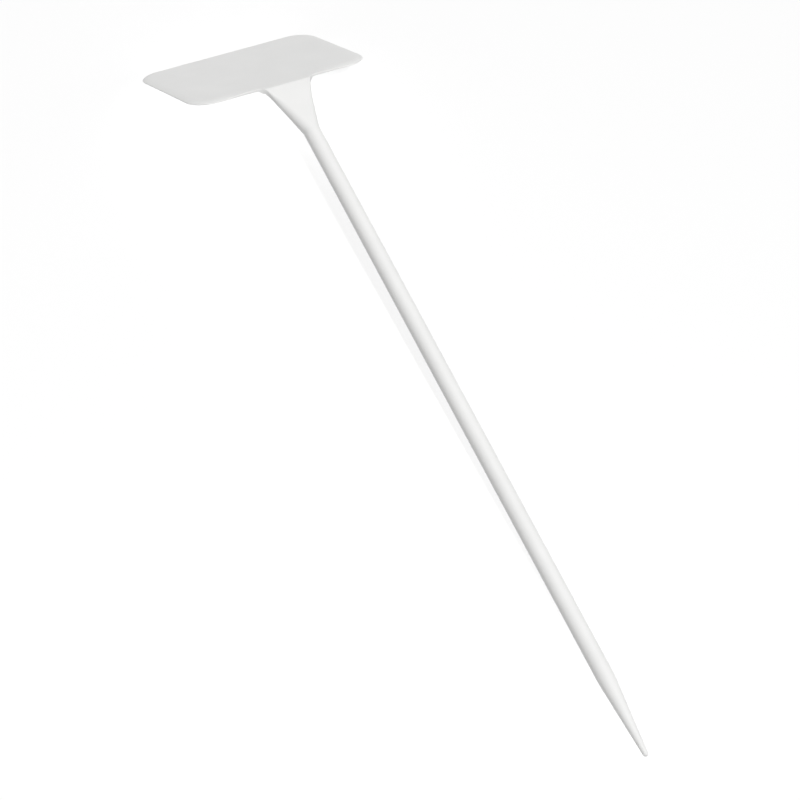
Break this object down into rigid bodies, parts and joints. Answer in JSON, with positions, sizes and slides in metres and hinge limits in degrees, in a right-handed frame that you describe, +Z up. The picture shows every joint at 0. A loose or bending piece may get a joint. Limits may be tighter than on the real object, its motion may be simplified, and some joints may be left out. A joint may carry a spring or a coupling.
{
  "type": "plant label stake",
  "caption": "White plastic plant label stake: a rounded writing plate leaning back on a flared neck, and a long round stem with a point to push into soil.",
  "frame": {"origin": "on the floor under the middle of the stake, as it lies face up on the top edge of its plate and on its point", "axes": "+X to the reader's right across the plate, +Y along the stake from the point towards the plate, +Z up"},
  "size_m": [0.1, 0.436, 0.0444],
  "materials": {
    "white_plastic": "moulded, satin"
  },
  "bodies": {
    "root": {"label_plate": "white_plastic", "neck": "white_plastic", "stem": "white_plastic"}
  },
  "joints": []
}
